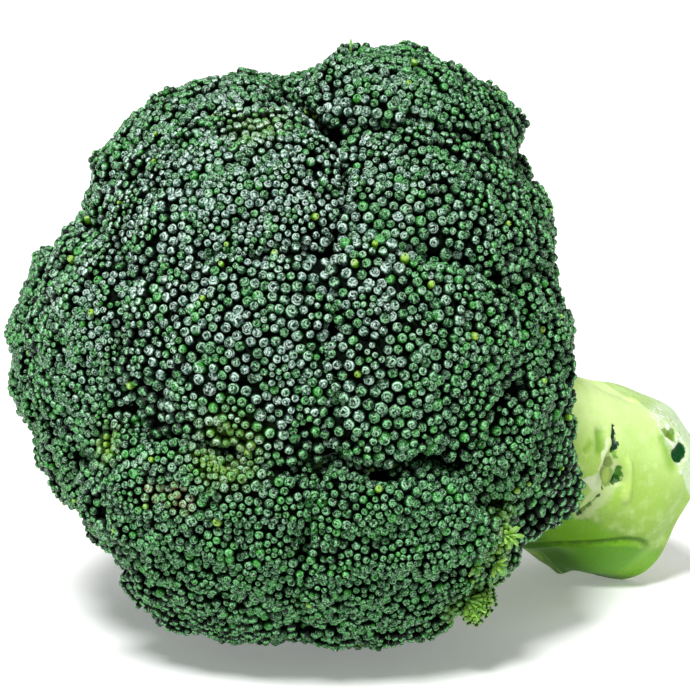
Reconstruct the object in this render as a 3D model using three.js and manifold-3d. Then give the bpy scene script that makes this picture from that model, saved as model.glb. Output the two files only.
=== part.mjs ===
// A head of broccoli, cut with a length of its stem and lying on its side. Millimetres, +Z up.
// It rests on two low florets and on the lower edge of the stem's cut end.
//
// The head is worked out upright, in plant axes: +Z runs up the plant from the cut end to the
// top of the crown, the origin is the middle of the crown, and +X is the side that is turned up
// once the head lies down. A turn is an angle round the plant from +X towards +Y.
// The stalk is one solid, the stem with a branch to every floret. Each floret is one solid, a
// lobe of the crown whose buds stand out of it, and it sits on the end of its own branch.
import * as THREE from "three";
import { ConvexHull } from "three/addons/math/ConvexHull.js";
import { mergeVertices } from "three/addons/utils/BufferGeometryUtils.js";
import Module from "manifold-3d";

const wasm = await Module();
wasm.setup();

// Driving dimensions of the crown
const CROWN_RADIUS = 70; // across the plant
const CROWN_RISE = 67; // from the middle of the crown to its top
const LOBE_HALF_HEIGHT = 21; // a floret is a rounded lobe, wider than it is high
const UNDERSIDE_DEPTH = 7; // from the middle of a lobe down to its flat underside
const LOBE_ROUNDING = 9; // power of the blend between a lobe's faces, higher is sharper
const NODE_GAP = 0.3; // clear space left between two solids that touch

// Buds and the clumps that they grow in
const BUD_SPACING = 5.9; // larger than life, the real buds are about 2.3 mm
const BUD_RELIEF = 1.0; // a bud's tip stands this far out and the valley round it lies as deep
const CLUMP_SPACING = 13;
const CLUMP_RELIEF = 1.2; // from the rim of a clump to its top
const SIDE_SPACING = 11.5; // corners of the hidden sides, which carry no buds
const RIM_CLEARANCE = 3.2; // such a corner keeps this far from the nearest bud

// Stem and branches
const STEM_LENGTH = 106; // from the middle of the crown to the cut end
const STEM_SAG = { x: -10, y: -10 }; // the stem bows by this much on its way to the cut end
const SAG_POWER = 1.3; // the bow grows with this power of the way down
const STEM_SIDES = 30;
const CUT_EDGE_RADIUS = 21.4; // the cut end's flat face, inside its rounded edge
const CUT_EDGE_ROUNDING = 2.5;
const STEM_TOP = -20; // the stem ends in a dome inside the crown, in the roots of the branches
// The stem's radius at each height from the cut end's edge up to that dome
const STEM_OUTLINE = [
  { radius: 23.6, height: -STEM_LENGTH + CUT_EDGE_ROUNDING },
  { radius: 24.8, height: -94 },
  { radius: 22.6, height: -80 },
  { radius: 21.8, height: -63 },
  { radius: 24.5, height: -48 },
  { radius: 24.0, height: -36 },
  { radius: 15.0, height: -24 },
];
const OUTLINE_STEPS = 15;
// Shallow ribs along the stem, with their twist in radians a millimetre
const STEM_RIBS = [
  { count: 3, depth: 0.9, twist: 0.03 },
  { count: 5, depth: 0.6, twist: -0.05 },
];

const BRANCH_SIDES = 8;
const HIGHEST_ROOT = -28; // where the branch of a floret at the top of the crown leaves the stem
const LOWEST_ROOT = -56; // and that of a floret at its rim
const RIM_POLAR = 108;
const ELBOW_SHARE = 0.35; // the bend's handle, as a share of the way from the middle to the floret
const ELBOW_DROP = 9;
// A branch's radius from its root to its end, whose flare it takes on by the share given
const BRANCH_OUTLINE = [
  { share: 0, radius: 7.5, flare: 0 },
  { share: 0.4, radius: 6.5, flare: 0 },
  { share: 0.62, radius: 5.5, flare: 0 },
  { share: 0.85, radius: 5.5, flare: 0.65 },
  { share: 1, radius: 5.5, flare: 1 },
];
const SQUARE_SHARE = 0.9; // from here on the branch stands square to its floret's underside
const FLARE_RADIUS = 13;
const FLARE_FILL = 0.85; // the flare reaches at most this share of the way to a wall

// How the head lies: the stem slopes down to its cut end, which meets the table
const STEM_SLOPE = 21; // degrees
const CROWN_AT = new THREE.Vector3(-16.5, 0.1, 67.2); // the middle of the crown above the table

// Each floret: polar is its angle from the top of the crown, turn its angle round the plant,
// width the half width of its lobe and lift how far its top stands out of the crown's oval.
const FLORETS = [
  { polar: 14, turn: -160, width: 34, lift: 2.0 },
  { polar: 36, turn: -47, width: 37, lift: 0.5 },
  { polar: 42, turn: -98, width: 38, lift: 0.0 },
  { polar: 63, turn: -148, width: 39, lift: 5.0 },
  { polar: 42, turn: 10, width: 34, lift: 0.0 },
  { polar: 50, turn: 64, width: 35, lift: -8.0 },
  { polar: 48, turn: 120, width: 36, lift: 1.0 },
  { polar: 53, turn: 170, width: 35, lift: -1.5 },
  { polar: 76, turn: -85, width: 37, lift: 1.5 },
  { polar: 79, turn: -51, width: 36, lift: 1.0 },
  { polar: 82, turn: -25, width: 35, lift: 5.0 },
  { polar: 92, turn: -128, width: 38, lift: 5.5 },
  { polar: 103, turn: -101, width: 34, lift: 0.5 },
  { polar: 108, turn: -73, width: 32, lift: -2.0 },
  { polar: 106, turn: -39, width: 33, lift: -2.5 },
  { polar: 84, turn: 11, width: 36, lift: -4.5 },
  { polar: 88, turn: 48, width: 36, lift: -1.0 },
  { polar: 86, turn: 86, width: 37, lift: 1.0 },
  { polar: 90, turn: 123, width: 36, lift: 0.0 },
  { polar: 99, turn: 158, width: 35, lift: 0.5 },
  { polar: 106, turn: -153, width: 35, lift: 1.5 },
  { polar: 110, turn: -5, width: 33, lift: -3.0 },
];

// Scars that cut leaves left on the stem: a swollen cushion with a shallow hollow in it
const LEAF_SCARS = [
  { turn: -98, height: -81 },
  { turn: -60, height: -99 },
  { turn: 40, height: -92 },
  { turn: 125, height: -70 },
  { turn: -172, height: -89 },
];
const SCAR_HALF_WIDTH = 13; // round the stem
const SCAR_HALF_HEIGHT = 8; // along it
const SCAR_SWELL = 1.8;
const SCAR_HOLLOW = 2.6;

const radians = THREE.MathUtils.degToRad;
const GOLDEN_TURN = Math.PI * (3 - Math.sqrt(5));

/** The unit vector at an angle from the top of the crown and a turn round the plant. */
function plantDirection(polar, turn) {
  return new THREE.Vector3(
    Math.sin(radians(polar)) * Math.cos(radians(turn)),
    Math.sin(radians(polar)) * Math.sin(radians(turn)),
    Math.cos(radians(polar)),
  );
}

/** Points spread evenly over a unit sphere on a golden spiral, so many that each has a hexagon
 * of the spacing asked for. */
function goldenSphere(spacing) {
  const hexagon = (Math.sqrt(3) / 2) * spacing * spacing;
  const count = Math.round((4 * Math.PI) / hexagon);
  return Array.from({ length: count }, (_, k) => {
    const z = 1 - (2 * k + 1) / count;
    const across = Math.sqrt(1 - z * z);
    const turn = k * GOLDEN_TURN;
    return new THREE.Vector3(across * Math.cos(turn), across * Math.sin(turn), z);
  });
}

/** A closed geometry as a solid that can be joined and cut. */
function solidOf(geometry) {
  const bare = geometry.clone();
  bare.deleteAttribute("normal");
  bare.deleteAttribute("uv");
  const merged = mergeVertices(bare, 1e-4);
  return new wasm.Manifold(
    new wasm.Mesh({
      numProp: 3,
      vertProperties: new Float32Array(merged.attributes.position.array),
      triVerts: new Uint32Array(merged.index.array),
    }),
  );
}

/** A joined or cut solid as a geometry again. */
function geometryOf(solid) {
  const { vertProperties, triVerts } = solid.getMesh();
  const geometry = new THREE.BufferGeometry();
  geometry.setAttribute("position", new THREE.BufferAttribute(vertProperties, 3));
  geometry.setIndex(new THREE.BufferAttribute(triVerts, 1));
  geometry.computeVertexNormals();
  return geometry;
}

/** A floret's own axes and middle, with its top on the crown's oval plus its lift. */
function placeFloret(row) {
  const axis = plantDirection(row.polar, row.turn);
  const across = Math.hypot(axis.x, axis.y) / CROWN_RADIUS;
  const crownReach = 1 / Math.hypot(across, axis.z / CROWN_RISE);
  const reach = crownReach + row.lift - LOBE_HALF_HEIGHT;
  const upright = new THREE.Quaternion().setFromUnitVectors(new THREE.Vector3(0, 0, 1), axis);
  const centre = axis.clone().multiplyScalar(reach);
  const meanRadius = (LOBE_HALF_HEIGHT + row.width) / 2;
  return { ...row, axis, reach, upright, centre, meanRadius, walls: [] };
}

/** Gives every floret a wall towards each other one, in the plane where their lobes meet. */
function addWalls(florets) {
  for (const floret of florets) {
    for (const other of florets.filter((one) => one !== floret)) {
      const normal = other.centre.clone().sub(floret.centre);
      const apart = normal.length();
      const share = (apart ** 2 + floret.width ** 2 - other.width ** 2) / (2 * apart);
      floret.walls.push({ normal: normal.divideScalar(apart), distance: share - NODE_GAP / 2 });
    }
  }
}

/** How far a floret's middle is from each wall that a direction points towards. */
function wallReaches(floret, direction) {
  return floret.walls
    .filter((wall) => wall.normal.dot(direction) > 0)
    .map((wall) => wall.distance / wall.normal.dot(direction));
}

/** How far the lobe itself, a flattened ball, reaches in a direction. */
function lobeReach(floret, direction) {
  const along = direction.dot(floret.axis);
  const across = Math.sqrt(Math.max(0, 1 - along * along));
  return 1 / Math.hypot(along / LOBE_HALF_HEIGHT, across / floret.width);
}

/** How far the flat underside is in a direction. */
function undersideReach(floret, direction) {
  const down = -direction.dot(floret.axis);
  return down > 0 ? UNDERSIDE_DEPTH / down : Infinity;
}

/** The floret's surface before its buds: lobe and walls blended round, then cut by the underside. */
function bareReach(floret, direction) {
  const reaches = [lobeReach(floret, direction), ...wallReaches(floret, direction)];
  const sum = reaches.reduce((total, reach) => total + reach ** -LOBE_ROUNDING, 0);
  return Math.min(sum ** (-1 / LOBE_ROUNDING), undersideReach(floret, direction));
}

/** The furthest that anything may stand out: the nearest wall or the underside. */
function hardReach(floret, direction) {
  return Math.min(undersideReach(floret, direction), ...wallReaches(floret, direction));
}

/** Height of the small domes that the buds are grouped in, highest at each clump's middle. */
function clumpHeight(floret, direction, clumps) {
  const nearest = Math.min(...clumps.map((clump) => clump.distanceTo(direction)));
  const share = (nearest * floret.meanRadius) / (CLUMP_SPACING / 2);
  return CLUMP_RELIEF * (0.5 - share * share);
}

/** One floret: directions spread round its middle are joined into a skin, and where the lobe is
 * open each is a bud's tip, with a valley in every triangle between three tips. */
function floretGeometry(floret) {
  const turned = (v) => v.applyQuaternion(floret.upright);
  const clumps = goldenSphere(CLUMP_SPACING / floret.meanRadius).map(turned);
  const isOpen = (v) => hardReach(floret, v) > lobeReach(floret, v);
  const buds = goldenSphere(BUD_SPACING / floret.meanRadius).map(turned).filter(isOpen);
  const isClear = (v) => buds.every((bud) => bud.distanceTo(v) * floret.meanRadius > RIM_CLEARANCE);
  const sides = goldenSphere(SIDE_SPACING / floret.meanRadius)
    .map(turned)
    .filter((v) => !isOpen(v) && isClear(v));
  const directions = [...buds, ...sides];
  const tips = new Map(directions.map((v, k) => [v, k]));

  const placed = (direction, relief) => {
    const reach = Math.min(bareReach(floret, direction) + relief, hardReach(floret, direction));
    return direction.clone().multiplyScalar(reach).add(floret.centre);
  };
  const points = directions.map((v, k) =>
    placed(v, k < buds.length ? clumpHeight(floret, v, clumps) + BUD_RELIEF : 0),
  );

  const triangles = new ConvexHull().setFromPoints(directions).faces.map((face) => {
    const edge = face.edge;
    return [edge, edge.next, edge.next.next].map((e) => tips.get(e.head().point));
  });
  const valleys = triangles.map((corners) => {
    if (corners.some((k) => k >= buds.length)) return -1;
    const middle = new THREE.Vector3();
    corners.forEach((k) => middle.add(directions[k]));
    middle.normalize();
    points.push(placed(middle, clumpHeight(floret, middle, clumps) - BUD_RELIEF));
    return points.length - 1;
  });

  // The triangle on the far side of each edge, found by the edge run the other way
  const byEdge = new Map();
  triangles.forEach(([a, b, c], t) => {
    for (const [from, to] of [[a, b], [b, c], [c, a]]) byEdge.set(`${from},${to}`, t);
  });
  const index = [];
  triangles.forEach(([a, b, c], t) => {
    if (valleys[t] < 0) {
      index.push(a, b, c);
      return;
    }
    for (const [from, to] of [[a, b], [b, c], [c, a]]) {
      const beyond = valleys[byEdge.get(`${to},${from}`)];
      index.push(from, beyond < 0 ? to : beyond, valleys[t]);
    }
  });
  const geometry = new THREE.BufferGeometry().setFromPoints(points);
  geometry.setIndex(index);
  geometry.computeVertexNormals();
  return geometry;
}

/** How far the stem's middle line has bowed at a height. */
function stemBow(height) {
  const share = THREE.MathUtils.clamp(-height / STEM_LENGTH, 0, 1) ** SAG_POWER;
  return { x: STEM_SAG.x * share, y: STEM_SAG.y * share };
}

/** How far the stem's skin stands out of a plain turned shape: shallow ribs and leaf scars. */
function stemRelief(turn, height, radius) {
  let relief = 0;
  for (const rib of STEM_RIBS) {
    relief += rib.depth * Math.cos(rib.count * turn + rib.twist * height);
  }
  for (const scar of LEAF_SCARS) {
    const aside = Math.atan2(Math.sin(turn - radians(scar.turn)), Math.cos(turn - radians(scar.turn)));
    const across = (aside * radius) / SCAR_HALF_WIDTH;
    const along = (height - scar.height) / SCAR_HALF_HEIGHT;
    const away = across * across + along * along;
    relief += SCAR_SWELL * Math.exp(-0.7 * away) - SCAR_HOLLOW * Math.exp(-3 * away);
  }
  return relief;
}

/** The stem: a turned outline from the flat cut end to a dome inside the crown, then ribbed,
 * scarred and bowed. */
function stemGeometry() {
  const outline = new THREE.SplineCurve(
    STEM_OUTLINE.map(({ radius, height }) => new THREE.Vector2(radius, height)),
  );
  const profile = [
    new THREE.Vector2(0, -STEM_LENGTH),
    new THREE.Vector2(CUT_EDGE_RADIUS, -STEM_LENGTH),
    ...outline.getPoints(OUTLINE_STEPS),
    new THREE.Vector2(0, STEM_TOP),
  ];
  const geometry = new THREE.LatheGeometry(profile, STEM_SIDES).rotateX(Math.PI / 2);
  const position = geometry.attributes.position;
  const point = new THREE.Vector3();
  for (let k = 0; k < position.count; k++) {
    point.fromBufferAttribute(position, k);
    const radius = Math.hypot(point.x, point.y);
    const relief = stemRelief(Math.atan2(point.y, point.x), point.z, radius);
    const grown = radius > 0 ? 1 + relief / radius : 1;
    const bow = stemBow(point.z);
    position.setXYZ(k, point.x * grown + bow.x, point.y * grown + bow.y, point.z);
  }
  return geometry;
}

/** The branch under a floret: a tapered round bar, bent from the stem out to the floret's
 * underside, where it flares. */
function branchGeometry(floret) {
  const rootHeight = THREE.MathUtils.lerp(HIGHEST_ROOT, LOWEST_ROOT, floret.polar / RIM_POLAR);
  const bow = stemBow(rootHeight);
  const root = new THREE.Vector3(bow.x, bow.y, rootHeight);
  const end = floret.axis.clone().multiplyScalar(floret.reach - UNDERSIDE_DEPTH - NODE_GAP);
  const elbow = floret.axis.clone().multiplyScalar(ELBOW_SHARE * floret.reach);
  elbow.z -= ELBOW_DROP;
  const line = new THREE.QuadraticBezierCurve3(root, elbow, end);

  // The flare stays inside the floret's own walls, measured level with the branch's end
  const depth = UNDERSIDE_DEPTH + NODE_GAP;
  let flare = FLARE_RADIUS;
  for (const wall of floret.walls) {
    const lean = wall.normal.dot(floret.axis);
    const fromEnd = (wall.distance + depth * lean) / Math.sqrt(1 - lean * lean);
    flare = Math.min(flare, FLARE_FILL * fromEnd);
  }
  const profile = [
    new THREE.Vector2(0, 0),
    ...BRANCH_OUTLINE.map(
      (ring) => new THREE.Vector2(THREE.MathUtils.lerp(ring.radius, flare, ring.flare), ring.share),
    ),
    new THREE.Vector2(0, 1),
  ];
  const geometry = new THREE.LatheGeometry(profile, BRANCH_SIDES).rotateX(Math.PI / 2);

  // Bend it: its height is the share of the way along the line, and its side stays level
  const level = new THREE.Vector3(0, 0, 1).cross(floret.axis).normalize();
  const position = geometry.attributes.position;
  const point = new THREE.Vector3();
  for (let k = 0; k < position.count; k++) {
    point.fromBufferAttribute(position, k);
    const share = THREE.MathUtils.clamp(point.z, 0, 1);
    const tangent = share > SQUARE_SHARE ? floret.axis : line.getTangent(share);
    const out = level.clone().cross(tangent).normalize();
    const bent = line.getPoint(share).addScaledVector(level, point.y).addScaledVector(out, point.x);
    position.setXYZ(k, bent.x, bent.y, bent.z);
  }
  return geometry;
}

const florets = FLORETS.map(placeFloret);
addWalls(florets);

const plant = new THREE.Group();
plant.rotation.y = radians(STEM_SLOPE - 90);
plant.position.copy(CROWN_AT);
plant.updateMatrixWorld(true);

// What reaches below the table is pressed flat on it
const TABLE_THICKNESS = 40;
const table = solidOf(
  new THREE.BoxGeometry(400, 400, TABLE_THICKNESS)
    .translate(0, 0, -TABLE_THICKNESS / 2)
    .applyMatrix4(plant.matrixWorld.clone().invert()),
);

const stalkMaterial = new THREE.MeshStandardMaterial({ color: 0xa5cc5c, roughness: 0.45, metalness: 0 });
const budMaterial = new THREE.MeshStandardMaterial({ color: 0x2f5a3a, roughness: 0.6, metalness: 0 });

let stalk = solidOf(stemGeometry());
for (const floret of florets) stalk = stalk.add(solidOf(branchGeometry(floret)));
const stalkMesh = new THREE.Mesh(geometryOf(stalk.subtract(table)), stalkMaterial);
stalkMesh.name = "stalk";
plant.add(stalkMesh);

florets.forEach((floret, k) => {
  const solid = solidOf(floretGeometry(floret)).subtract(table);
  const mesh = new THREE.Mesh(geometryOf(solid), budMaterial);
  mesh.name = `floret_${String(k + 1).padStart(2, "0")}`;
  plant.add(mesh);
});

const head = new THREE.Group();
head.add(plant);

export default head;
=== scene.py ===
"""A head of broccoli, cut with a length of its stem and lying on its side.

The head is worked out upright, in plant axes and millimetres: +Z runs up the plant from the cut
end to the top of the crown, the origin is the middle of the crown, and +X is the side that is
turned up once the head lies down. A turn is an angle round the plant from +X towards +Y.
to_row() lays the finished points down in the part's frame, in metres.
"""
import math

import bpy
import mathutils
import numpy as np
from numpy import concatenate as join
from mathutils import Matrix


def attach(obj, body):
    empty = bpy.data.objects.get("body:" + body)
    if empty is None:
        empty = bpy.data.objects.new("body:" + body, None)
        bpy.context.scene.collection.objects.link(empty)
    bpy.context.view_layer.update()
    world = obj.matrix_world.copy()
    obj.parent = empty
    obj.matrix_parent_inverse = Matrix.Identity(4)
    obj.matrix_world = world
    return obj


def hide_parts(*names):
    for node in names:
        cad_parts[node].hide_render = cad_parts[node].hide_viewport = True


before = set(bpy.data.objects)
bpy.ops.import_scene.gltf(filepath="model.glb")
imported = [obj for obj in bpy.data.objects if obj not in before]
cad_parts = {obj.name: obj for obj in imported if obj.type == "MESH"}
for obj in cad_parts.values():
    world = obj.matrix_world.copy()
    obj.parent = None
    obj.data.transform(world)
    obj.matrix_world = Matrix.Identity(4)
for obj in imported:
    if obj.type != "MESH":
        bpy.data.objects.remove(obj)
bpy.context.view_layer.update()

MM = 0.001

# How the head lies: the same slope and place as the solids have
STEM_SLOPE = math.radians(21)
CROWN_AT = np.array([-16.5, 0.1, 67.2])
UP = np.array([math.cos(STEM_SLOPE), 0, math.sin(STEM_SLOPE)])

# The crown and its lobes, as the solids have them
CROWN_RADIUS = 70
CROWN_RISE = 67
LOBE_HALF_HEIGHT = 21
UNDERSIDE_DEPTH = 7
LOBE_ROUNDING = 24
SKIN_SINK = 1.3
SKIN_SWELL, SKIN_SWELL_LENGTH = 0.9, 17
WALL_WAVE, WALL_WAVE_LENGTH = 3.2, 19
FARTHEST_WALL = 60

# Each floret's polar angle from the top of the crown, turn round the plant, half width, lift out
# of the crown's oval, and the radius of its common buds
FLORETS = (
    (14, -160, 34, 2.0, 0.95),
    (36, -47, 37, 0.5, 0.95),
    (42, -98, 38, 0.0, 1.10),
    (63, -148, 39, 5.0, 1.02),
    (42, 10, 34, 0.0, 1.0),
    (50, 64, 35, -8.0, 1.0),
    (48, 120, 36, 1.0, 1.05),
    (53, 170, 35, -1.5, 0.98),
    (76, -85, 37, 1.5, 1.10),
    (79, -51, 36, 1.0, 1.05),
    (82, -25, 35, 5.0, 0.98),
    (92, -128, 38, 5.5, 0.98),
    (103, -101, 34, 0.5, 1.02),
    (108, -73, 32, -2.0, 1.0),
    (106, -39, 33, -2.5, 1.0),
    (84, 11, 36, -4.5, 1.0),
    (88, 48, 36, -1.0, 1.05),
    (86, 86, 37, 1.0, 1.08),
    (90, 123, 36, 0.0, 1.05),
    (99, 158, 35, 0.5, 1.0),
    (106, -153, 35, 1.5, 1.0),
    (110, -5, 33, -3.0, 1.0),
)

# Broad dents and swellings of the crown: polar angle, turn, half width and how far they stand out
CROWN_SWELLINGS = (
    (64, -6, 8, -4.0), (73, -10, 8, -2.6), (121, -47, 9, -3.8), (127, -50, 8, -2.4),
    (122, -72, 7, -3.0), (54, -170, 7, -3.6), (97, -24, 9, 2.2), (108, -131, 7, 2.4),
    (72, -171, 7, 1.8), (50, 156, 8, 0.8), (42, 112, 9, 1.0), (10, 68, 6, 1.2), (36, 36, 10, -1.8),
    (119, -126, 5, -1.4), (98, -165, 9, -1.4), (20, 50, 5, -2.0),
    (119, -60, 7, -2.4), (58, -16, 7, -2.2), (51, 137, 7, -2.5), (58, 168, 8, -2.6),
    (65, -179, 7, -1.6), (101, -160, 7, -1.8), (115, -25, 8, 1.6), (97, -25, 8, 1.2),
    (29, 23, 7, 1.4), (49, 160, 6, 1.6), (128, -104, 9, 9.5), (123, -112, 6, 4.5),
    (66, -13, 6, -2.0), (70, 6, 6, -1.8), (44, 145, 6, -1.6), (60, -172, 6, -1.4),
    (105, -166, 6, -1.4), (127, -70, 6, 0.4), (112, -57, 7, -2.4), (70, 7, 6, -2.2),
    (53, 15, 5, -1.0), (46, 141, 6, -1.0), (57, 169, 6, -1.2), (53, -168, 6, -1.4),
    (97, -27, 7, 1.4), (84, -12, 5, 1.2), (61, 8, 5, 1.2), (108, -136, 6, 2.6),
    (98, -147, 6, -1.2), (25, 32, 6, -1.0),
)

# Clumps and buds: each clump has its smallest buds at its middle, and leans them away from its
# root. Some buds are sunk in, and none stands deep in a crease.
CLUMP_SPACING = 11.5
CLUMP_EDGE = 0.56 * CLUMP_SPACING
CLUMP_AREA = 0.87 * CLUMP_SPACING**2
FEWEST_CLUMPS = 4
CLUMP_RIM_HEIGHT = 3
CLUMP_RELIEF = 2.1
PATCH_DIP = 1.6
CLUMP_ROOT = 10
SMALLEST_SHARE, LARGEST_SHARE = 0.68, 1.16
SIZE_WAVE, SIZE_WAVE_LENGTH = 0.16, 26
YOUNG_SHRINK = 0.42
SIZE_SPREAD, SIZE_LIMITS = 0.10, (0.78, 1.25)
BUD_TIP = 1.1
BUD_BASE = 1.1
BUD_PACKING = 1.06
BUD_GROWTH = 1.10
BUD_SPACING = 1.0
BUD_LENGTHS = (1.0, 1.35)
SUNK_SHARE, SUNK_DEPTH, SUNK_SPREAD = 0.18, 0.8, 0.22
DEEPEST_IN_CREASE = -3.0
WELL_INSIDE, FAR_OUT = 1.1, 99.0
RIM_HEIGHT = -3
TRIAL_DIRECTIONS = 9000
NUDGE = 0.01
CLUMP_ROUNDS, BUD_ROUNDS = 40, 30
PUSH_SHARE, PUSH_LIMIT = 0.45, 0.6
OUTWARD_SHARE, OUTWARD_FROM = 0.6, 0.45
TILT_SPREAD = 0.16
LOWEST_BUD = 0.15
LIME_SPREAD = (0.75, 1.25)
RUST_STRENGTH = 1.4

# Stray lime buds all over the crown: the draws that make one, how lime it is and its size
STRAY_FROM, STRAY_LIME, STRAY_SIZE = 0.991, 0.9, 0.72

# The middle under the buds, painted dark as shade on its upper side: its rings and their points,
# how far it is sunk, the depths of its flat side and of the fade to its underside, its least height
# over the floor, and its faces' place on the disc
CORE_ROWS, CORE_COLUMNS = 24, 40
CORE_SINK = 1.15
CORE_FLAT = 2.2
CORE_FADE = 3
LOWEST_CORE = 0.8
CORE_DISC = (0.9, 0.0)

# The random draws' seeds, to which a floret's number or a shoot's place is added
CLUMP_SEED, BUD_SEED, LOOK_SEED, SHOOT_SEED = 100, 200, 300, 400

# A bud's rings from its tip, which has a dimple painted on as shade, to its sunk base: distance
# from its axis and height, in radii
BUD_RINGS = ((0.60, 0.90), (1.0, 0.20), (0.76, -0.75))
BUD_TIP_HEIGHT = 1.0
BUD_SIDES = 7

# Patches where the crown is open and its youngest, yellow-green buds show: polar, turn, radius
LIME_PATCHES = (
    (50, -120, 5.5),
    (46, -29, 4.5),
    (111, -129, 7.0),
    (107, -114, 5.0),
    (34, -149, 3.5),
    (101, -150, 4.0),
    (84, 100, 6.0),
    (60, 150, 5.0),
    (95, 40, 5.0),
    (70, 35, 4.5),
)

# Patches of rusty buds
RUST_PATCHES = ((38, -176, 3.0), (22, -138, 2.5), (50, -136, 3.5), (46, -142, 2.5))

# Where the buds have most of their glaucous wax, gathered with painted light on the side that
# faces the key light, and how fast it falls off over the crown
BLOOM_AND_LIGHT_AT = (38, -60)
BLOOM_AND_LIGHT_WIDTH = 0.42
LEAST_BLOOM_AND_LIGHT = 0.08

# Young shoots at the crown's rim: floret, foot (polar, turn, reach), heading (polar, turn), how
# many, spread in degrees, length, half thickness, half width, radius of the bud on each tip, and
# how lime they are
SHOOTS = (
    (12, (107.5, -127.5, 75.1), (124, -116), 48, 63, 6.2, 0.44, 0.62, 0.46, 1.0),
    (12, (107, -118.5, 74.5), (120, -108), 6, 60, 3.6, 0.5, 0.55, 0, 1.0),
    (12, (108, -119, 75.0), (112, -112), 1, 0, 3.2, 1.35, 1.5, 0, 0.35),
    (12, (106, -112.5, 74.0), (90, -92), 10, 75, 3.4, 0.25, 0.6, 0, 0.95),
    (12, (108.5, -113, 73.0), (100, -95), 8, 75, 3.2, 0.25, 0.55, 0, 0.8),
    (12, (103, -120, 74.0), (90, -100), 6, 70, 3.0, 0.25, 0.5, 0, 0.8),
    (12, (116, -130, 74.5), (116, -35), 3, 26, 3.0, 0.2, 0.24, 0, -0.3),
    (11, (69.5, -16.5, 73.0), (76, 9), 1, 0, 3.2, 0.34, 0.36, 0, 0.7),
    (11, (85, -14, 73.5), (76, 9), 2, 30, 2.6, 0.3, 0.35, 0.45, 0.2),
)
SHOOT_DISC = (0.30, 0.20)
SHOOT_LENGTHS = (0.72, 1.05)
SHOOT_TONES = (0.3, 0.8)
SHOOT_SHARE = 0.8
TIP_LIME = 0.5

# The stem, as the solids have it, and its cut face
STEM_LENGTH = 106
CUT_HEIGHT = -105.4
STEM_SAG = (-10, -10)
SAG_POWER = 1.3
STEM_OUTLINE = (
    (23.6, -103.5), (24.8, -94), (22.6, -80), (21.8, -63), (24.5, -48), (24.0, -36), (15.0, -24),
)
CUT_EDGE_ROUNDING = 2.2
STEM_TOP = -20
LOWEST_SKIN = 0.1

# The rings of its skin: the shares of the radius on the cut face, the steps round the edge, then
# heights up to which the steps are given, and the turns, finest on the side in view
FACE_SHARES = (0.05, 0.2, 0.4, 0.6, 0.8, 0.93)
FACE_RIPPLE = 0.25
EDGE_STEP = 18
FINE_HEIGHTS, COARSE_HEIGHTS = (-62, 0.42), (-24, 1.0)
FINE_TURNS, COARSE_TURNS = (-168, -6, 1.0), (-6, 191, 2.25)
STEM_RIBS = ((3, 0.9, 0.03), (5, 0.6, -0.05))

# Plain leaf scars out of sight of the photograph: turn and height
LEAF_SCARS = ((40, -92), (125, -70), (-172, -84))
SCAR_HALF_WIDTH = 13
SCAR_HALF_HEIGHT = 8
SCAR_SWELL = 1.8
SCAR_HOLLOW = 2.6

# Broad dents and swellings of the stem: turn, height, half width in degrees and in millimetres,
# and how far they stand out
SWELLINGS = (
    (0, -87, 30, 8, -2.4),
    (-15, -103, 16, 5, 1.9),
    (-180, -97, 15, 5, -2.4),
    (-103, -104, 26, 5, -2.2),
    (-150, -91, 16, 7, 0.8),
    (177, -92.5, 5.5, 1.9, 1.5),
)

# Millimetres round the stem for one degree of turn, from the middle turn of the side in view
TURN_ARC = 0.4
VIEW_TURN = -90

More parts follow.
